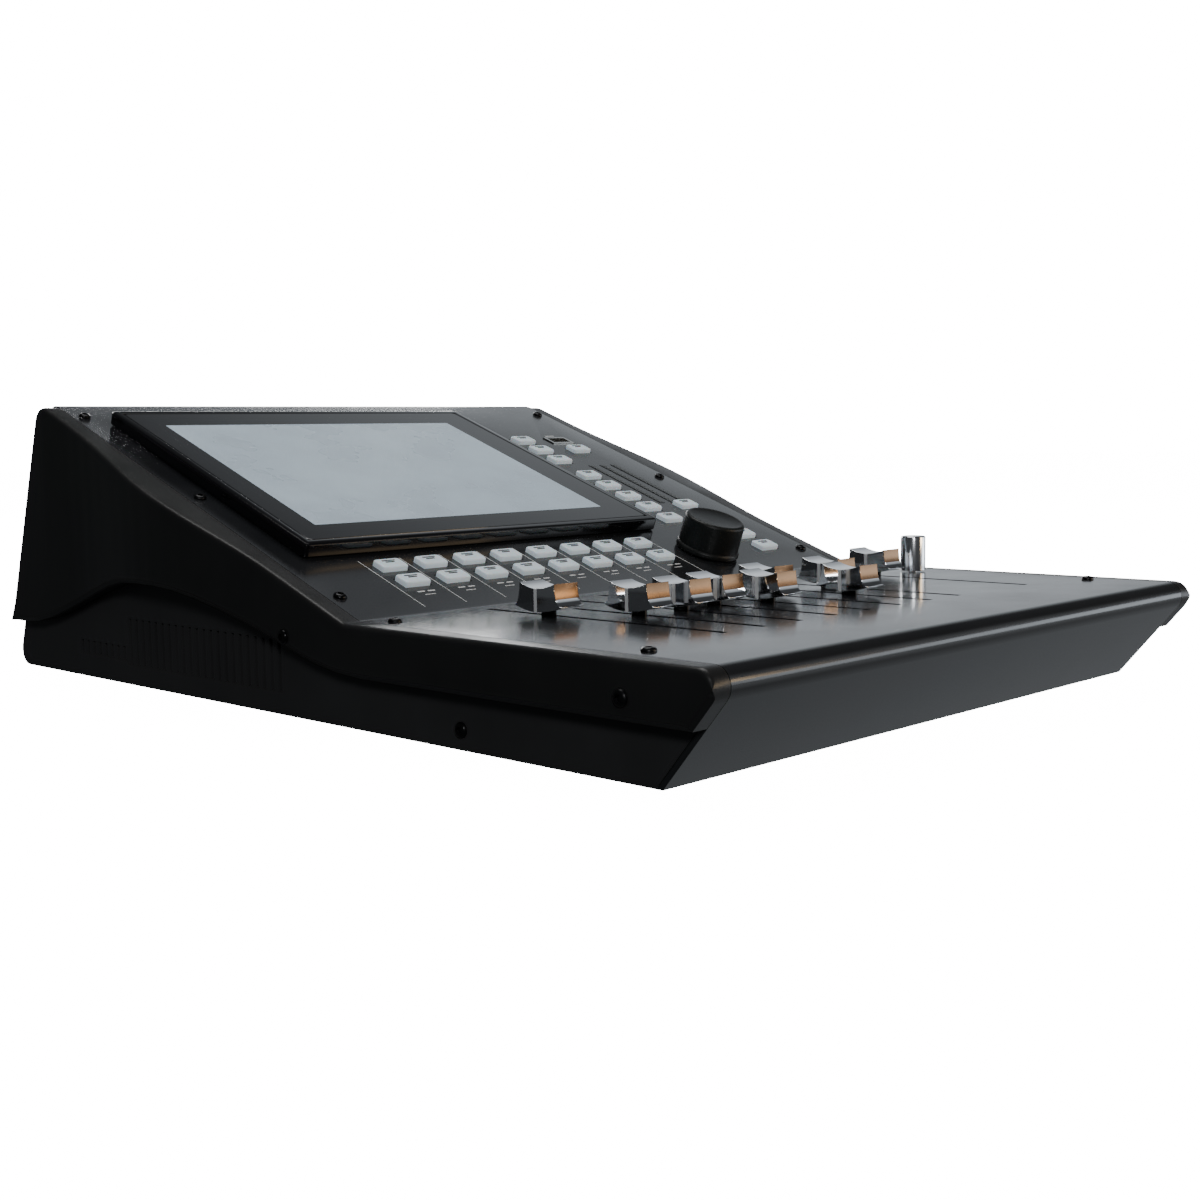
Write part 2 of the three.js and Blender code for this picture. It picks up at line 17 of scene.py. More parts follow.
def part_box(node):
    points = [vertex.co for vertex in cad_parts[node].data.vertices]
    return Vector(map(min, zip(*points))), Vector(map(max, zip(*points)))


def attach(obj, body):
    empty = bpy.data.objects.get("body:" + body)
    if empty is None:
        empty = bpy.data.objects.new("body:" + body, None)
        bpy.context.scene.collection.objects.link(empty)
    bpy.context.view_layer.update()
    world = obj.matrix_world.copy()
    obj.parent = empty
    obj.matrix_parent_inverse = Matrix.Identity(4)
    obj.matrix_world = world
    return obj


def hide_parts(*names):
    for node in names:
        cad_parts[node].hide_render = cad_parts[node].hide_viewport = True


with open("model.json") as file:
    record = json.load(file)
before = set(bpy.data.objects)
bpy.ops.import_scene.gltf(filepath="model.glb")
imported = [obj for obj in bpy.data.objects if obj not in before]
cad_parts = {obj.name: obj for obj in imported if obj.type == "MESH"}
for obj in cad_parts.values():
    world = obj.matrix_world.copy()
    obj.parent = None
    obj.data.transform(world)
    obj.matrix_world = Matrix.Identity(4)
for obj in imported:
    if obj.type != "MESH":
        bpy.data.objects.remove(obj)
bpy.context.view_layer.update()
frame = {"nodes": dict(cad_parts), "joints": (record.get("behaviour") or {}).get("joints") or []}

scene = bpy.context.scene
nodes = frame["nodes"]
joints = {joint["name"]: joint for joint in frame["joints"]}
print("solids:", len(nodes), "joints:", len(joints))

# %% [markdown]
# Nearly everything on the slope is easiest to place in the slope's own directions: across, up the slope, and
# straight out of it. The encoder turns about a line square to the slope, so its joint gives all three. One
# matrix then takes any point from slope measures to the room, and its inverse measures a solid on the slope.

# %% Directions on the slope and on the deck
MM = 0.001
ACROSS = Vector((1, 0, 0))
OUT = Vector(joints["encoder_turn"]["axis"]).normalized()
UPHILL = OUT.cross(ACROSS)
ENCODER_SPOT = Vector(joints["encoder_turn"]["pos_m"])
ENCODER_ALONG = 29  # the encoder's place up the slope from the bend, in millimetres
NOSE_REACH = 27.46  # how far the nose stands out in front of the tray
SLOPE = Matrix((ACROSS, UPHILL, OUT)).transposed().to_4x4()
SLOPE.translation = ENCODER_SPOT - ENCODER_SPOT.x * ACROSS - ENCODER_ALONG * MM * UPHILL
DECK_Z = joints["level_turn"]["pos_m"][2]
DECK_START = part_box("top_panel")[0].y + NOSE_REACH * MM


def on_slope(x, along, out=0.0):
    """A matrix that sets a piece on the slope. Measures are in millimetres from the bend."""
    return SLOPE @ Matrix.Translation(Vector((x, along, out)) * MM)


def on_deck(x, y, out=0.0):
    """A matrix that sets a piece on the deck. y is in millimetres from the tray's front edge."""
    return Matrix.Translation((x * MM, DECK_START + y * MM, DECK_Z + out * MM))


def measure(node, space):
    """The lowest and highest corner of a solid in the given space, in millimetres."""
    inverse = space.inverted()
    corners = [inverse @ vertex.co / MM for vertex in nodes[node].data.vertices]
    low = [min(corner[i] for corner in corners) for i in range(3)]
    high = [max(corner[i] for corner in corners) for i in range(3)]
    return Vector(low), Vector(high)


print("slope leans", round(math.degrees(OUT.angle(Vector((0, 0, 1)))), 2), "degrees")

# %% [markdown]
# The camera comes first, so that every later look at the piece is the same view. It stands off the front
# left corner, lower than the rear edge and well above the deck, and is turned by a small roll.

# %% Camera
CAMERA_SPOT = Vector((-0.4907, DECK_START - 0.3110, 0.1109))
LENS = 46.3
YAW, PITCH, ROLL = (math.radians(angle) for angle in (44.641, 6.085, 1.019))
ahead = Vector((math.cos(YAW) * math.cos(PITCH), math.sin(YAW) * math.cos(PITCH), -math.sin(PITCH)))
level_right = Vector((math.sin(YAW), -math.cos(YAW), 0))
level_down = ahead.cross(level_right)
right = math.cos(ROLL) * level_right + math.sin(ROLL) * level_down
down = math.cos(ROLL) * level_down - math.sin(ROLL) * level_right
camera_data = bpy.data.cameras.new("view")
camera_data.lens = LENS
camera_data.sensor_width = 36
camera_data.clip_start = 0.01
camera = bpy.data.objects.new("view", camera_data)
facing = Matrix((right, -down, -ahead)).transposed().to_4x4()
camera.matrix_world = Matrix.Translation(CAMERA_SPOT) @ facing
scene.collection.objects.link(camera)
scene.camera = camera
print("camera stands", round(CAMERA_SPOT.length, 3), "m from the middle of the desk")

# %% [markdown]
# Dark gloss shows mostly what stands around it, so the room is what draws this object. It is dim on the
# left, which leaves the near cheek almost black. It is bright low down behind the right side, which washes
# the deck and the slope with grey, and two weaker patches, one below on the right and one in front, lift the
# front face and the ends of the fader caps. The camera alone sees a white backdrop. The floor is pale too,
# but it keeps out of reflections, since a white sheet under a black case would turn its sides grey.

# %% Room, lights and floor
BACKDROP = 22.0  # what the camera sees behind the object
DIM = 0.05  # what lights the object from every side
BEHIND_RIGHT = ((0.74, 0.66, 0.14), 0.83, 0.8)  # a direction, where its patch starts, and how bright it is
BELOW_RIGHT = ((0.72, -0.05, -0.68), 0.5, 0.3)
IN_FRONT = ((0.70, -0.72, 0.12), 0.84, 0.7)
FLOOR_GLOW = 16.0

world = bpy.data.worlds.new("studio")
world.use_nodes = True
scene.world = world
tree = world.node_tree
tree.nodes.clear()
seen = tree.nodes.new("ShaderNodeBackground")
seen.inputs["Color"].default_value = (1, 1, 1, 1)
seen.inputs["Strength"].default_value = BACKDROP
way = tree.nodes.new("ShaderNodeTexCoord")


def glow_toward(direction, start, low, high):
    """Brightness that rises from low to high as the view turns to a direction."""
    toward = tree.nodes.new("ShaderNodeVectorMath")
    toward.operation = "DOT_PRODUCT"
    toward.inputs[1].default_value = Vector(direction).normalized()
    tree.links.new(way.outputs["Generated"], toward.inputs[0])
    fade = tree.nodes.new("ShaderNodeMapRange")
    fade.interpolation_type = "SMOOTHSTEP"
    fade.inputs["From Min"].default_value = start
    fade.inputs["From Max"].default_value = 1.0
    fade.inputs["To Min"].default_value = low
    fade.inputs["To Max"].default_value = high
    tree.links.new(toward.outputs["Value"], fade.inputs["Value"])
    return fade.outputs["Result"]


direction, start, high = BEHIND_RIGHT
total = glow_toward(direction, start, DIM, high)
for direction, start, high in (BELOW_RIGHT, IN_FRONT):
    both = tree.nodes.new("ShaderNodeMath")
    both.operation = "ADD"
    tree.links.new(total, both.inputs[0])
    tree.links.new(glow_toward(direction, start, 0.0, high), both.inputs[1])
    total = both.outputs["Value"]
felt = tree.nodes.new("ShaderNodeBackground")
felt.inputs["Color"].default_value = (0.88, 0.94, 1.0, 1)
tree.links.new(total, felt.inputs["Strength"])
rays = tree.nodes.new("ShaderNodeLightPath")
either = tree.nodes.new("ShaderNodeMixShader")
surface = tree.nodes.new("ShaderNodeOutputWorld")
tree.links.new(rays.outputs["Is Camera Ray"], either.inputs["Fac"])
tree.links.new(felt.outputs["Background"], either.inputs[1])
tree.links.new(seen.outputs["Background"], either.inputs[2])
tree.links.new(either.outputs["Shader"], surface.inputs["Surface"])


def soft_light(name, spot, aim, width, height, power, colour):
    """A rectangular light that faces the aim point."""
    data = bpy.data.lights.new(name, "AREA")
    data.shape = "RECTANGLE"
    data.size, data.size_y = width, height
    data.energy = power
    data.color = colour
    light = bpy.data.objects.new(name, data)
    light.location = spot
    light.rotation_euler = (Vector(aim) - Vector(spot)).to_track_quat("-Z", "Y").to_euler()
    scene.collection.objects.link(light)


soft_light("overhead", (0.1, 0.3, 1.6), (0, 0.05, 0.05), 1.1, 0.8, 13, (1, 1, 1))
soft_light("front_left", (-1.2, -1.3, 0.8), (0, 0, 0.05), 0.35, 0.3, 9, (0.97, 0.98, 1))
soft_light("warm_front", (0.7, -1.2, 0.35), (0, -0.1, 0.06), 0.5, 0.25, 3, (1, 0.72, 0.42))
soft_light("rear_fill", (0.75, 1.6, 0.45), (0, 0.2, 0.06), 1.0, 0.5, 14, (1, 1, 1))
soft_light("low_right", (1.3, -0.9, 0.12), (0.1, -0.2, 0.02), 0.9, 0.3, 2.2, (0.85, 0.92, 1))


def plain_floor():
    """A wide pale floor under the feet, white to the camera and left out of reflections."""
    shape = bmesh.new()
    bmesh.ops.create_grid(shape, x_segments=1, y_segments=1, size=6)
    mesh = bpy.data.meshes.new("floor")
    shape.to_mesh(mesh)
    shape.free()
    floor = bpy.data.objects.new("floor", mesh)
    scene.collection.objects.link(floor)
    paint = bpy.data.materials.new("floor_pale")
    paint.use_nodes = True
    shader = paint.node_tree.nodes["Principled BSDF"]
    shader.inputs["Base Color"].default_value = (0.9, 0.9, 0.9, 1)
    shader.inputs["Roughness"].default_value = 0.9
    shader.inputs["Emission Color"].default_value = (1, 1, 1, 1)
    shader.inputs["Emission Strength"].default_value = FLOOR_GLOW
    mesh.materials.append(paint)
    floor.visible_glossy = False
    floor.visible_diffuse = False


plain_floor()

# %% [markdown]
# ## Finishes
# Each finish is one Principled shader with three things a flat colour lacks: a faint drift in tone, patches
# that are a touch rougher, and a fine bump at the real size of the grain. The drift and the patches come
# from slow noise, and the grain from fast noise, both in metres so that the grain stays the same size.

# %% A finish with tone, patches and grain
def finish(
    name, colour, roughness, metallic=0.0, drift=0.12, patch=0.06, grain=0.3, depth=0.02, glow=0, **more
):
    """A material. grain is the size of one bump and depth its height, in millimetres."""
    material = bpy.data.materials.new(name)
    material.use_nodes = True
    tree = material.node_tree
    shader = tree.nodes["Principled BSDF"]
    shader.inputs["Metallic"].default_value = metallic
    for socket, value in more.items():
        title = socket.replace("_", " ").title().replace("Ior", "IOR")
        shader.inputs[title].default_value = value
    place = tree.nodes.new("ShaderNodeTexCoord")
    slow = tree.nodes.new("ShaderNodeTexNoise")
    slow.inputs["Scale"].default_value = 28
    slow.inputs["Detail"].default_value = 3
    tree.links.new(place.outputs["Object"], slow.inputs["Vector"])
    tone = tree.nodes.new("ShaderNodeValToRGB")
    tone.color_ramp.elements[0].position = 0.3
    tone.color_ramp.elements[1].position = 0.7
    tone.color_ramp.elements[0].color = [c * (1 - drift) for c in colour] + [1]
    tone.color_ramp.elements[1].color = [min(1, c * (1 + drift)) for c in colour] + [1]
    tree.links.new(slow.outputs["Fac"], tone.inputs["Fac"])
    tree.links.new(tone.outputs["Color"], shader.inputs["Base Color"])
    if glow:
        tree.links.new(tone.outputs["Color"], shader.inputs["Emission Color"])
        shader.inputs["Emission Strength"].default_value = glow
    dull = tree.nodes.new("ShaderNodeMapRange")
    dull.inputs["From Min"].default_value = 0.3
    dull.inputs["From Max"].default_value = 0.7
    dull.inputs["To Min"].default_value = max(0.0, roughness - patch)
    dull.inputs["To Max"].default_value = roughness + patch
    tree.links.new(slow.outputs["Fac"], dull.inputs["Value"])
    tree.links.new(dull.outputs["Result"], shader.inputs["Roughness"])
    if depth:
        fast = tree.nodes.new("ShaderNodeTexNoise")
        fast.inputs["Scale"].default_value = 1 / (grain * MM)
        fast.inputs["Detail"].default_value = 2
        tree.links.new(place.outputs["Object"], fast.inputs["Vector"])
        bump = tree.nodes.new("ShaderNodeBump")
        bump.inputs["Strength"].default_value = 0.6
        bump.inputs["Distance"].default_value = depth * MM
        tree.links.new(fast.outputs["Fac"], bump.inputs["Height"])
        tree.links.new(bump.outputs["Normal"], shader.inputs["Normal"])
    return material


panel_paint = finish("panel_paint", (0.016, 0.017, 0.019), 0.17, patch=0.04, grain=0.9, depth=0.003)
tray_paint = finish(
    "tray_paint", (0.036, 0.036, 0.037), 0.5, grain=0.7, depth=0.012, specular_ior_level=0.3,
)
cheek_plastic = finish(
    "cheek_plastic", (0.017, 0.017, 0.017), 0.34, grain=0.5, depth=0.006, specular_ior_level=0.3,
)
bezel_gloss = finish("bezel_gloss", (0.004, 0.004, 0.005), 0.07, patch=0.03, grain=2.0, depth=0.001)
screen_lit = finish(
    "screen_lit", (0.29, 0.355, 0.41), 0.3, drift=0.1, patch=0.08, grain=0.25, depth=0.002, glow=0.62,
)
# The key caps also glow a little: a painted glow that lifts them brighter than the lamps alone would.
key_pale_painted_glow = finish(
    "key_pale_painted_glow", (0.66, 0.76, 0.82), 0.36, drift=0.04, grain=0.35, depth=0.006, glow=0.22,
    subsurface_weight=0.2, subsurface_scale=0.002,
)
key_legend = finish("key_legend", (0.03, 0.035, 0.04), 0.5, depth=0)
cap_chrome = finish("cap_chrome", (0.84, 0.85, 0.87), 0.07, metallic=1.0, drift=0.03, patch=0.03, depth=0)
level_chrome = finish("level_chrome", (0.9, 0.91, 0.93), 0.2, metallic=1.0, drift=0.03, depth=0)
# The scoops' upper faces get a brown-tinted chrome: a painted warm reflection of orange surroundings, not a
# tint of the caps.
cap_painted_warm_reflection = finish("cap_painted_warm_reflection", (0.21, 0.125, 0.07), 0.24, metallic=1.0, drift=0.3, patch=0.05, depth=0)
knob_plastic = finish(
    "knob_plastic", (0.007, 0.008, 0.008), 0.4, grain=0.4, depth=0.012, specular_ior_level=0.3,
)
screw_black = finish("screw_black", (0.006, 0.006, 0.007), 0.3, metallic=0.5, grain=0.5, depth=0.004)
print_white = finish("print_white", (0.72, 0.74, 0.74), 0.5, depth=0)
meter_smoke = finish("meter_smoke", (0.006, 0.007, 0.007), 0.18, grain=1.0, depth=0.002)
plated_steel = finish("plated_steel", (0.62, 0.62, 0.60), 0.28, metallic=1.0, grain=0.4, depth=0.004)
hole_painted_shade = finish("hole_painted_shade", (0.003, 0.003, 0.003), 0.7, depth=0)
board_green = finish("board_green", (0.02, 0.11, 0.05), 0.35, drift=0.25, grain=0.8, depth=0.02)
socket_black = finish("socket_black", (0.010, 0.010, 0.011), 0.45, grain=0.35, depth=0.015)
gold_pin = finish("gold_pin", (0.80, 0.58, 0.24), 0.2, metallic=1.0, depth=0)
foot_rubber = finish("foot_rubber", (0.02, 0.02, 0.02), 0.85, grain=0.6, depth=0.05)
print("finishes:", len(bpy.data.materials) - 1)

# %% [markdown]
# ## Shapes
# Most small pieces here are a stack of level outlines, each a little narrower or higher than the last: a key,
# a knob, a screw head and a printed mark are all made that way. One helper joins the outlines with quads and
# closes the two ends, which gives a clean, watertight skin and full control over every rounded edge.

# %% Outlines and stacks
def box_outline(width, depth, radius, steps=4):
    """A rectangle with round corners, anticlockwise from the lower right."""
    points = []
    for quarter, (sx, sy) in enumerate(((1, -1), (1, 1), (-1, 1), (-1, -1))):
        centre = Vector((sx * (width / 2 - radius), sy * (depth / 2 - radius)))
        for i in range(steps + 1):
            angle = math.radians(90) * (quarter - 1 + i / steps)
            points.append(centre + radius * Vector((math.cos(angle), math.sin(angle))))
    return points


def ring_outline(radius, steps=48):
    """A circle as evenly spaced points."""
    turn = math.tau / steps
    return [Vector((radius * math.cos(i * turn), radius * math.sin(i * turn))) for i in range(steps)]


def add_stack(shape, layers, space, finishes=(0,)):
    """Adds outlines at rising heights as one closed skin. layers is a list of (outline, height)."""
    rings = []
    for outline, height in layers:
        rings.append([shape.verts.new(space @ (Vector((p.x, p.y, height)) * MM)) for p in outline])
    faces = [shape.faces.new(list(reversed(rings[0]))), shape.faces.new(rings[-1])]
    for lower, upper in zip(rings, rings[1:]):
        count = len(lower)
        for i in range(count):
            j = (i + 1) % count
            faces.append(shape.faces.new((lower[i], lower[j], upper[j], upper[i])))
    for face in faces:
        face.material_index = finishes[0]
    faces[1].material_index = finishes[-1]
    return faces


def make_piece(shape, name, materials, body, sharp=35):
    """Turns a bmesh into a piece that rides on a body, smooth except at sharp edges."""
    mesh = bpy.data.meshes.new(name)
    bmesh.ops.recalc_face_normals(shape, faces=shape.faces)
    shape.to_mesh(mesh)
    shape.free()
    for material in materials:
        mesh.materials.append(material)
    mesh.shade_smooth()
    mesh.set_sharp_from_angle(angle=math.radians(sharp))
    piece = bpy.data.objects.new(name, mesh)
    scene.collection.objects.link(piece)
    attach(piece, body)
    return piece


# %% [markdown]
# ## The casing
# The sheet metal has the right shape already, so it stays. Its round bends are made of flat strips, and a
# small node group shades them as one smooth curve while edges that turn by more than thirty degrees stay
# crisp. It works as a modifier, so the solid's own mesh is never touched.

# %% Smooth bends on the solids that stay
def smooth_bends():
    """A geometry node group that merges doubled points and shades gentle edges smooth."""
    group = bpy.data.node_groups.new("smooth_bends", "GeometryNodeTree")
    group.interface.new_socket("Geometry", in_out="INPUT", socket_type="NodeSocketGeometry")
    group.interface.new_socket("Geometry", in_out="OUTPUT", socket_type="NodeSocketGeometry")
    source = group.nodes.new("NodeGroupInput")
    target = group.nodes.new("NodeGroupOutput")
    merge = group.nodes.new("GeometryNodeMergeByDistance")
    merge.inputs["Distance"].default_value = 0.00001
    faces = group.nodes.new("GeometryNodeSetShadeSmooth")
    faces.domain = "FACE"
    edges = group.nodes.new("GeometryNodeSetShadeSmooth")
    edges.domain = "EDGE"
    edges.inputs["Shade Smooth"].default_value = False
    bend = group.nodes.new("GeometryNodeInputMeshEdgeAngle")
    crisp = group.nodes.new("FunctionNodeCompare")
    crisp.operation = "GREATER_THAN"
    crisp.inputs["B"].default_value = math.radians(30)
    group.links.new(bend.outputs["Unsigned Angle"], crisp.inputs["A"])
    group.links.new(crisp.outputs["Result"], edges.inputs["Selection"])
    path = [source.outputs[0], merge, faces, edges]
    for near, far in zip(path, path[1:]):
        outlet = near if near is path[0] else near.outputs[0]
        group.links.new(outlet, far.inputs["Geometry"])
    group.links.new(edges.outputs[0], target.inputs[0])
    return group


SMOOTH_BENDS = smooth_bends()


def dress(node, material, width=0.0):
    """Gives a kept solid its finish, smooth bends and, with a width, small rounded edges."""
    solid = nodes[node]
    solid.data.materials.clear()
    solid.data.materials.append(material)
    if width:
        weld = solid.modifiers.new("weld", "WELD")
        weld.merge_threshold = 0.00001
        bevel = solid.modifiers.new("round", "BEVEL")
        bevel.width = width * MM
        bevel.segments = 2
        bevel.limit_method = "ANGLE"
        bevel.angle_limit = math.radians(40)
    shading = solid.modifiers.new("smooth", "NODES")
    shading.node_group = SMOOTH_BENDS


KEPT = {
    "top_panel": (panel_paint, 0.0),
    "chassis_tray": (tray_paint, 0.0),
    "rear_panel": (tray_paint, 0.0),
    "display_bezel": (bezel_gloss, 0.5),
    "display_module": (plated_steel, 0.0),
    "meter_window": (meter_smoke, 0.0),
    "data_port": (plated_steel, 0.0),
    "key_board": (board_green, 0.0),
    "fader_bank": (board_green, 0.0),
    "main_board": (board_green, 0.0),
    "power_supply": (plated_steel, 0.0),
    "mains_inlet": (socket_black, 0.3),
    "network_socket": (plated_steel, 0.0),
    "output_socket_1": (socket_black, 0.0),
    "output_socket_2": (socket_black, 0.0),
    "power_rocker": (socket_black, 0.4),
    "front_foot": (foot_rubber, 0.0),
    "rear_foot": (foot_rubber, 0.0),
}
for node, (material, width) in KEPT.items():
    dress(node, material, width)
print("kept solids:", len(KEPT))

# %% [markdown]
# ## The cheeks
# A moulded cheek has a soft shoulder all round and a face that swells beside the display. Its solid has the
# right outline but hard edges. So the solid is probed at many places from front to rear, with a ray from
# above, one from below and one from the side, and a new skin is laid through what the rays find: at each
# place one ring of points goes over the shoulder, across the face and round under the lower edge.

# %% Cheeks
SHOULDER = 2.0
UNDERCUT = 1.8


def stations(mesh):
    """Places along the cheek, in metres: one at each of its corners and one at least every 4 mm."""
    corners = sorted({round(vertex.co.y, 5) for vertex in mesh.vertices})
    corners[0] += 0.00003
    corners[-1] -= 0.00003
    places = [corners[0]]
    for corner in corners[1:]:
        pieces = max(1, math.ceil((corner - places[-1]) / (4 * MM)))
        start = places[-1]
        if corner - start > 0.00002:
            places += [start + (corner - start) * (i + 1) / pieces for i in range(pieces)]
    return places


def inward(line, upward):
    """For a line of (y, z) points, the unit way into the cheek at each of them."""
    ways = []
    for i in range(len(line)):
        along = (line[min(i + 1, len(line) - 1)] - line[max(i - 1, 0)]).normalized()
        ways.append(Vector((-along.y, along.x)) if upward else Vector((along.y, -along.x)))
    return ways


def cheek_shell(node, side):
    mesh = nodes[node].data
    probe = BVHTree.FromPolygons([v.co for v in mesh.vertices], [p.vertices for p in mesh.polygons])
    inner = min(abs(vertex.co.x) for vertex in mesh.vertices)
    over, under, face = [], [], []
    for y in stations(mesh):
        above = probe.ray_cast(Vector((side * (inner + MM), y, 1)), Vector((0, 0, -1)))[0]
        below = probe.ray_cast(Vector((side * (inner + MM), y, -1)), Vector((0, 0, 1)))[0]
        middle = (above.z + below.z) / 2
        outer = probe.ray_cast(Vector((side, y, middle)), Vector((-side, 0, 0)))[0]
        over.append(Vector((y, above.z)))
        under.append(Vector((y, below.z)))
        face.append(abs(outer.x))
    shape = bmesh.new()
    rings = []
    for top, low, top_way, low_way, out in zip(over, under, inward(over, False), inward(under, True), face):
        tall = (top - low).length
        soft = min(SHOULDER * MM, 0.35 * tall)
        cut = min(UNDERCUT * MM, 0.35 * tall)
        ring = [(inner, top)]
        for i in range(5):
            turn = math.radians(90) * i / 4
            ring.append((out - soft * (1 - math.sin(turn)), top + top_way * soft * (1 - math.cos(turn))))
        ring += [(out, low + low_way * cut), (out - cut * 0.9, low + low_way * cut * 0.1), (out - cut, low)]
        ring.append((inner, low))
        rings.append([shape.verts.new((side * x, spot.x, spot.y)) for x, spot in ring])
    for near, far in zip(rings, rings[1:]):
        for i in range(len(near)):
            j = (i + 1) % len(near)
            shape.faces.new((near[i], near[j], far[j], far[i]))
    shape.faces.new(rings[0])
    shape.faces.new(list(reversed(rings[-1])))
    piece = make_piece(shape, node + "_shell", [cheek_plastic], "desk", sharp=32)
    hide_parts(node)
    return len(rings)


print("rings in a cheek:", cheek_shell("left_cheek", -1), cheek_shell("right_cheek", 1))

# %% [markdown]
# ## The display
# The pane is one sheet of glass, black round the edge and clear over the lit area. Two finishes on one mesh
# do that: the top of the stack ends in the lit rectangle, whose face takes the second finish.

# %% Display pane
pane_low, pane_high = measure("display_glass", SLOPE)
lit_low, lit_high = measure("display_module", SLOPE)
pane_size = pane_high - pane_low
pane_middle = (pane_high + pane_low) / 2
lit_size = lit_high - lit_low
lit_shift = (lit_high + lit_low) / 2 - pane_middle
LIT_MARGIN = 2.5


def shifted(outline, shift):
    return [point + shift.to_2d() for point in outline]


def display_pane():
    width, depth = pane_size.x, pane_size.y
    lit = box_outline(lit_size.x - 2 * LIT_MARGIN, lit_size.y - 2 * LIT_MARGIN, 0.6)
    layers = [
        (box_outline(width, depth, 2.5), 0.0),
        (box_outline(width, depth, 2.5), pane_size.z - 0.35),
        (box_outline(width - 0.3, depth - 0.3, 2.4), pane_size.z - 0.1),
        (box_outline(width - 0.8, depth - 0.8, 2.2), pane_size.z),
        (shifted(lit, lit_shift), pane_size.z),
    ]
    shape = bmesh.new()
    add_stack(shape, layers, on_slope(pane_middle.x, pane_middle.y, pane_low.z), (0, 1))
    piece = make_piece(shape, "display_pane", [bezel_gloss, screen_lit], "desk", sharp=20)
    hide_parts("display_glass")


display_pane()
print("lit area:", round(lit_size.x - 2 * LIT_MARGIN, 1), "by", round(lit_size.y - 2 * LIT_MARGIN, 1), "mm")

# %% [markdown]
# ## Keys
# A key is a soft-edged pale cap, very slightly dished where the finger lands, with one short dark mark near
# its far edge. All twenty-eight are the same moulding, so one stack is used for each at its solid's place.

# %% Keys
KEY_NODES = [name for name in nodes if "_key" in name and name != "key_board"]


def key_cap(node):
    low, high = measure(node, SLOPE)
    size = high - low
    middle = (high + low) / 2
    width, depth, top = size.x, size.y, high.z
    space = on_slope(middle.x, middle.y)
    layers = [(box_outline(4, 4, 0.4), low.z), (box_outline(4, 4, 0.4), -2.9)]
    layers += [(box_outline(width - 0.4, depth - 0.4, 1.2), -2.85), (box_outline(width, depth, 1.4), -2.5)]
    for inset, height in ((0, -0.7), (0.1, -0.36), (0.36, -0.12), (0.8, 0), (1.8, -0.08), (3.4, -0.16)):
        outline = box_outline(width - 2 * inset, depth - 2 * inset, max(0.3, 1.4 - inset * 0.4))
        layers.append((outline, top + height))
    shape = bmesh.new()
    add_stack(shape, layers, space)
    for length, shift in ((6.6, 2.1), (4.4, 3.5)):
        bar = box_outline(length, 0.8, 0.2, 2)
        spot = space @ Matrix.Translation((0, (depth / 2 - shift) * MM, 0))
        add_stack(shape, [(bar, top - 0.2), (bar, top - 0.01)], spot, (1,))
    piece = make_piece(shape, node + "_cap", [key_pale_painted_glow, key_legend], node)
    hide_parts(node)


for node in KEY_NODES:
    key_cap(node)
print("keys:", len(KEY_NODES))

# %% [markdown]
# ## Fader caps
# The cap is a six-sided block, widest in the middle, that sags like a saddle, and its two ends are scooped
# out for the fingertip. A lofted mesh suits it better than cutting shapes from each other: the cap is walked
# from end to end, and at every step the width, the underside and the top are known, so the skin is one even
# band of quads. A white line crosses the middle and runs down both sides.

# %% Fader caps
FADER_NODES = [name for name in nodes if "fader_cap" in name]
CAP_END, CAP_MIDDLE = 11.7, 14.0
CAP_LOW, CAP_DIP, SCOOP = 1.7, 2.1, 3.4
LINE_WIDTH = 1.7
# Above this height the scoops carry the painted warm reflection.
PAINTED_REFLECTION_FROM = 7.2  # the scoop's warm upper part starts at this height


def cap_walk(half, top):
    """Points (y, underside, top) from the cap's front foot to its rear foot."""
    def underside(y):
        return CAP_LOW + CAP_DIP * (y / half) ** 2

    def crown(y):
        return top - CAP_DIP * (1 - (y / (half - SCOOP)) ** 2)

    steps = 10
    foot = CAP_LOW + CAP_DIP
    scoop = []
    for i in range(steps):
        t = i / steps
        y = half - SCOOP * (2 * t - t * t)
        scoop.append((y, underside(y), foot + 0.3 + (top - foot - 0.3) * t * t * (1.5 - 0.5 * t)))
    edge = LINE_WIDTH / 2
    middle = [(y, underside(y), crown(y)) for y in (half - SCOOP, 7.5, 5.5, 3.5, edge + 0.3, edge, 0)]
    half_walk = scoop + middle
    front = [(-y, low, high) for y, low, high in half_walk]
    return front + list(reversed(half_walk[:-1])), steps


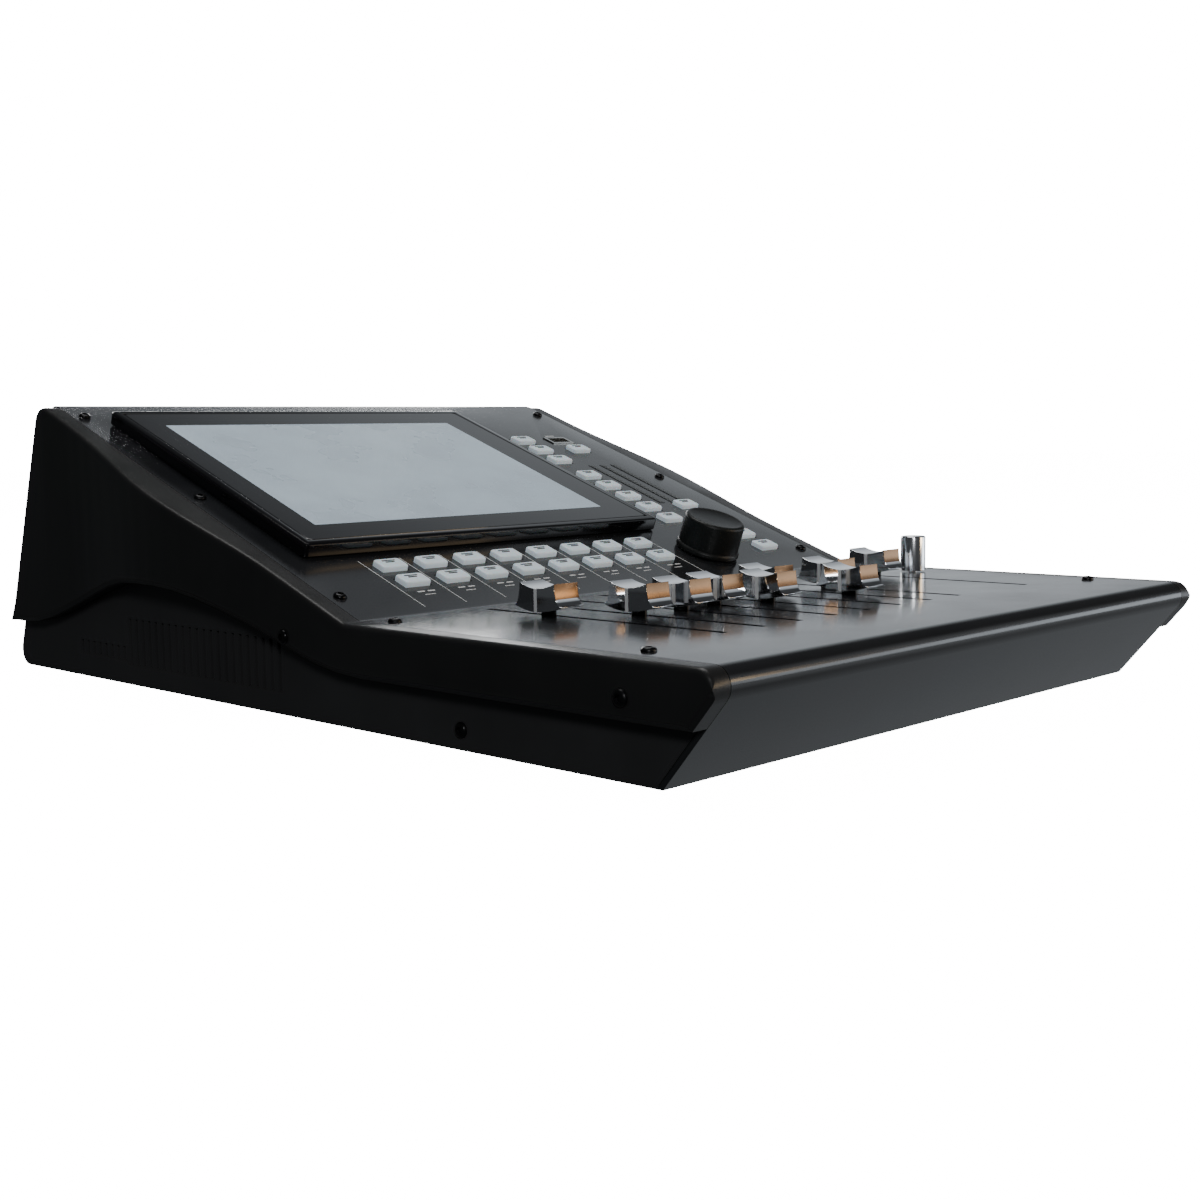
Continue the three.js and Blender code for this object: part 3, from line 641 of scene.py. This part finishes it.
def fader_cap(node):
    space = Matrix.Translation((0, 0, DECK_Z))
    low, high = measure(node, space)
    middle = (high + low) / 2
    half = (high.y - low.y) / 2
    walk, scoop_steps = cap_walk(half, high.z)
    shape = bmesh.new()
    rows = []
    for y, bottom, top in walk:
        wide = CAP_END + (CAP_MIDDLE - CAP_END) * (1 - abs(y) / half)
        row = []
        for side, height in ((-1, bottom), (-1, top), (1, top), (1, bottom)):
            spot = Vector((middle.x + side * wide / 2, middle.y + y, height))
            row.append(shape.verts.new(space @ (spot * MM)))
        rows.append(row)
    for i, (near, far) in enumerate(zip(rows, rows[1:])):
        spot = abs(walk[i][0] + walk[i + 1][0]) / 2
        scooped = i < scoop_steps or i >= len(rows) - 1 - scoop_steps
        upper = (walk[i][2] + walk[i + 1][2]) / 2 > PAINTED_REFLECTION_FROM
        for k in range(4):
            m = (k + 1) % 4
            face = shape.faces.new((near[k], near[m], far[m], far[k]))
            # Upper scoop faces take the painted warm reflection.
            if k == 1 and scooped and upper:
                face.material_index = 1
            if k < 3 and spot < LINE_WIDTH / 2:
                face.material_index = 2
    shape.faces.new(list(reversed(rows[0])))
    shape.faces.new(rows[-1])
    stem = box_outline(1.6, 7, 0.2, 2)
    foot = space @ Matrix.Translation(middle.to_2d().to_3d() * MM)
    add_stack(shape, [(stem, low.z), (stem, CAP_LOW + 1)], foot, (3,))
    finishes = [cap_chrome, cap_painted_warm_reflection, print_white, screw_black]
    piece = make_piece(shape, node + "_shell", finishes, node, sharp=25)
    edge = piece.modifiers.new("round", "BEVEL")
    edge.width = 0.4 * MM
    edge.segments = 3
    edge.limit_method = "ANGLE"
    edge.angle_limit = math.radians(28)
    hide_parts(node)


for node in FADER_NODES:
    fader_cap(node)
print("fader caps:", len(FADER_NODES))

# %% [markdown]
# ## Knobs
# Both knobs are turned shapes, so each is a stack of circles. The large one is satin plastic with a flared
# skirt and a dished top. The small one is a plain plated post with a rounded rim.

# %% Encoder and level knob
def turned_knob(node, name, material, space, profile, steps=72):
    shape = bmesh.new()
    add_stack(shape, [(ring_outline(radius, steps), height) for radius, height in profile], space)
    piece = make_piece(shape, name, [material], node, sharp=40)
    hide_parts(node)


encoder_low, encoder_high = measure("encoder_knob", SLOPE)
encoder_middle = (encoder_low + encoder_high) / 2
rim = (encoder_high.x - encoder_low.x) / 2
top = encoder_high.z
turned_knob(
    "encoder_knob", "encoder_grip", knob_plastic,
    on_slope(encoder_middle.x, encoder_middle.y),
    [
        (3, encoder_low.z), (3, 1.0), (rim - 0.3, 1.0), (rim, 1.3), (rim, 2.6), (rim - 0.25, 3.1),
        (rim - 0.8, 3.7), (rim - 0.8, top - 1.6), (rim - 1.0, top - 0.8), (rim - 1.5, top - 0.25),
        (rim - 2.2, top), (rim - 3.0, top - 0.15), (rim - 4.5, top - 0.5), (4, top - 0.75),
        (0.4, top - 0.8),
    ],
)
level_low, level_high = measure("level_knob", on_deck(0, 0))
level_middle = (level_low + level_high) / 2
rim = (level_high.x - level_low.x) / 2
top = level_high.z
turned_knob(
    "level_knob", "level_grip", level_chrome,
    on_deck(level_middle.x, level_middle.y),
    [
        (2, level_low.z), (2, 0.6), (rim - 0.2, 0.6), (rim, 0.8), (rim, top - 0.7), (rim - 0.15, top - 0.3),
        (rim - 0.5, top - 0.05), (rim - 0.9, top), (1, top), (0.3, top),
    ],
    64,
)
print("knobs: 2")

# %% [markdown]
# ## Screws
# The sheet is held by low round-headed screws with a hex socket. The head is a short stack that comes up and
# over, then turns down into the six-sided socket, so the recess is real geometry and shades by itself.

# %% Screws
def hexagon(radius):
    """A hexagon with as many points as the head's circle, so that both can be in one stack."""
    points = []
    for i in range(24):
        angle = math.tau * i / 24
        reach = radius * math.cos(math.pi / 6) / math.cos((angle % (math.pi / 3)) - math.pi / 6)
        points.append(Vector((reach * math.cos(angle), reach * math.sin(angle))))
    return points


def add_screw(shape, space, radius=2.7, height=1.5):
    profile = [(1, 0.05 / height), (1, 0.3), (0.9, 0.7), (0.7, 0.93)]
    layers = [(ring_outline(radius * out, 24), height * up) for out, up in profile]
    layers += [(ring_outline(radius * 0.56, 24), height)]
    layers += [(hexagon(radius * 0.5), height), (hexagon(radius * 0.46), height - 0.9)]
    add_stack(shape, layers, space)


def turned_to(spot, direction):
    """A matrix at a spot, in metres, whose Z points in the direction."""
    return Matrix.Translation(spot) @ Vector(direction).to_track_quat("Z", "Y").to_matrix().to_4x4()


TRAY_FACE = 150  # how far the tray's side and the cheek's flat face stand from the middle
CHEEK_FACE = 158.5
SLOPE_SCREWS = (144, (21.8, 125.6, 229.7))  # how far out, and how far up the slope
DECK_SCREWS = (142.5, (12, 139))
SIDE_SCREWS = ((9, 28.8, CHEEK_FACE), (188, 33.3, CHEEK_FACE), (94, 7.3, TRAY_FACE))
BASE_SCREWS = (128, (16, 140, 262, 396))


def panel_screws():
    shape = bmesh.new()
    for side in (-1, 1):
        for along in SLOPE_SCREWS[1]:
            add_screw(shape, on_slope(side * SLOPE_SCREWS[0], along))
        for y in DECK_SCREWS[1]:
            add_screw(shape, on_deck(side * DECK_SCREWS[0], y))
    make_piece(shape, "panel_screws", [screw_black], "desk")


def side_screws():
    """The screws in the cheeks, low on the tray's sides and under the tray."""
    shape = bmesh.new()
    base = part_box("chassis_tray")[0].z
    for side in (-1, 1):
        for y, z, face in SIDE_SCREWS:
            spot = Vector((side * face * MM, DECK_START + y * MM, base + z * MM))
            add_screw(shape, turned_to(spot, (side, 0, 0)), 2.9, 1.4)
        for y in BASE_SCREWS[1]:
            spot = Vector((side * BASE_SCREWS[0] * MM, DECK_START + y * MM, base))
            add_screw(shape, turned_to(spot, (0, 0, -1)), 2.6, 1.2)
    make_piece(shape, "side_screws", [screw_black], "desk")


panel_screws()
side_screws()

# %% [markdown]
# ## Printing
# The slope carries fine white printing: a line between each two columns of keys, a pair of short marks under
# each column, and a mark above the data socket. Ink has almost no thickness, so each mark is a closed skin a
# few hundredths of a millimetre high. No words are printed.

# %% Printed lines and marks
INK = 0.04


def add_mark(shape, space, width, depth):
    outline = box_outline(width, depth, min(width, depth) * 0.2, 1)
    add_stack(shape, [(outline, 0.0), (outline, INK)], space)


def key_centre(node):
    low, high = measure(node, SLOPE)
    return (low + high) / 2


def printing():
    shape = bmesh.new()
    first, second = key_centre("lower_key_1"), key_centre("lower_key_2")
    above = key_centre("upper_key_1")
    pitch = second.x - first.x
    for i in range(8):
        x = first.x + i * pitch
        for shift in (-2.6, 2.6):
            add_mark(shape, on_slope(x + shift, first.y - 9), 3.6, 0.9)
        add_mark(shape, on_slope(x, first.y - 12), 5.2, 0.5)
    for i in range(9):
        x = first.x + (i - 0.5) * pitch
        add_mark(shape, on_slope(x, (above.y + 14) / 2), 0.35, above.y + 2)
    low, high = measure("data_port", SLOPE)
    add_mark(shape, on_slope((low.x + high.x) / 2, high.y + 3.2), 7, 1.0)
    for node in ("side_key_1", "side_key_5", "aux_key_1", "aux_key_2", "main_key_upper"):
        spot = key_centre(node)
        add_mark(shape, on_slope(spot.x, spot.y + 6.2), 6, 0.7)
    make_piece(shape, "printed_marks", [print_white], "desk")


printing()
print("printed lines between keys: 9")

# %% [markdown]
# ## Meters
# Each meter is a dark strip of small windows. The strips are a solid already, and a row of raised segments
# on each gives the fine ladder that shows even when no segment is lit.

# %% Meter segments
SEGMENTS, SEGMENT_PITCH = 18, 3.05
METER_PITCH = 8.5


def meter_segments():
    low, high = measure("meter_window", SLOPE)
    middle = (low + high) / 2
    segment_dark = finish("segment_dark", (0.05, 0.055, 0.05), 0.3, depth=0)
    shape = bmesh.new()
    for column in (-1, 0, 1):
        for i in range(SEGMENTS):
            along = middle.y + (i - (SEGMENTS - 1) / 2) * SEGMENT_PITCH
            space = on_slope(middle.x + column * METER_PITCH, along, 0.15)
            outline = box_outline(2.4, 1.9, 0.25, 2)
            add_stack(shape, [(outline, 0), (outline, 0.15)], space)
    make_piece(shape, "meter_segments", [segment_dark], "desk")


meter_segments()

# %% [markdown]
# ## The rear
# The sockets at the rear are ordinary ones: two round output sockets with a latch, a network socket with
# spring contacts, and a mains inlet with three blades. They are made in the rear panel's own directions.

# %% Directions at the rear
REAR = Matrix((-ACROSS, OUT, UPHILL)).transposed().to_4x4()
REAR.translation = SLOPE.translation


def at(space, x, y, z=0.0):
    """A matrix moved by millimetres in its own directions."""
    return space @ Matrix.Translation(Vector((x, y, z)) * MM)


def at_rear(node):
    """A matrix at the middle of a rear fitting's face, looking out of the rear, and its size."""
    low, high = measure(node, REAR)
    middle = (low + high) / 2
    return at(REAR, middle.x, middle.y, high.z), high - low


# %% Output sockets
def output_socket(node):
    space, _ = at_rear(node)
    shape = bmesh.new()
    face = [
        (box_outline(26, 31, 3), -2.0), (box_outline(26, 31, 3), -0.5),
        (box_outline(25.4, 30.4, 2.8), -0.1), (box_outline(24.6, 29.6, 2.5), 0.0),
    ]
    add_stack(shape, face, space)
    make_piece(shape, node + "_flange", [socket_black], "desk")
    shape = bmesh.new()
    rings = [(9.7, 0.02), (9.9, 0.5), (10.6, 0.7), (11.2, 0.5), (11.4, 0.02)]
    add_ring(shape, rings, space)
    add_ring(shape, [(5.6, 0.02), (5.9, 0.6), (7.2, 0.6), (7.5, 0.02)], space)
    make_piece(shape, node + "_rings", [plated_steel], "desk")
    shape = bmesh.new()
    # The pin holes are not cut: flat black discs stand in for them, painted shade where the holes would be
    # dark.
    for spot in ring_outline(3.4, 12)[3::4]:
        layers = [(ring_outline(1.1, 16), 0.02), (ring_outline(1.0, 16), 0.12)]
        add_stack(shape, layers, at(space, spot.x, spot.y))
    make_piece(shape, node + "_contacts", [hole_painted_shade], "desk")
    shape = bmesh.new()
    for x, y in ((-9.5, 12), (9.5, -12)):
        add_screw(shape, at(space, x, y), 1.8, 0.9)
    make_piece(shape, node + "_screws", [screw_black], "desk")


def add_ring(shape, profile, space, steps=48):
    """A closed ring whose section is the profile of (radius, height) points."""
    rows = [
        [shape.verts.new(space @ (Vector((p.x, p.y, height)) * MM)) for p in ring_outline(radius, steps)]
        for radius, height in profile
    ]
    for near, far in zip(rows, rows[1:] + rows[:1]):
        for i in range(steps):
            j = (i + 1) % steps
            shape.faces.new((near[i], near[j], far[j], far[i]))


for node in ("output_socket_1", "output_socket_2"):
    output_socket(node)


# %% Mains inlet, rocker, network contacts and rear screws
MOUTH_INSET = 17.8  # from the inlet's edge to the middle of its mouth


def inlet_blades():
    space, size = at_rear("mains_inlet")
    mouth = -size.x / 2 + MOUTH_INSET
    shape = bmesh.new()
    for x, y in ((-7, -2), (7, -2), (0, 2)):
        blade = box_outline(2, 4, 0.3, 2)
        tip = box_outline(1.2, 3.2, 0.3, 2)
        add_stack(shape, [(blade, -16.6), (blade, -5), (tip, -4)], at(space, mouth + x, y))
    make_piece(shape, "inlet_blades", [plated_steel], "desk")


def network_contacts():
    space, _ = at_rear("network_socket")
    shape = bmesh.new()
    for i in range(8):
        spring = box_outline(0.4, 0.35, 0.1, 1)
        add_stack(shape, [(spring, -12.2), (spring, -2.2)], at(space, (i - 3.5) * 1.02, 3.7))
    make_piece(shape, "network_contacts", [gold_pin], "desk")


def rocker_marks():
    space, _ = at_rear("power_rocker")
    shape = bmesh.new()
    bar = box_outline(0.6, 3.2, 0.2, 1)
    add_stack(shape, [(bar, -1.6), (bar, -0.6)], at(space, 0, 5))
    add_ring(shape, [(1.1, -1.6), (1.1, -0.6), (1.6, -0.6), (1.6, -1.6)], at(space, 0, -5), 24)
    make_piece(shape, "rocker_marks", [print_white], "power_rocker")


def rear_screws():
    high = measure("rear_panel", REAR)[1]
    shape = bmesh.new()
    for x in (-138, -46, 46, 138):
        for below in (9, 88):
            add_screw(shape, at(REAR, x, high.y - below, high.z), 2.6, 1.2)
    make_piece(shape, "rear_screws", [screw_black], "desk")


inlet_blades()
network_contacts()
rocker_marks()
rear_screws()
print("rear fittings dressed")
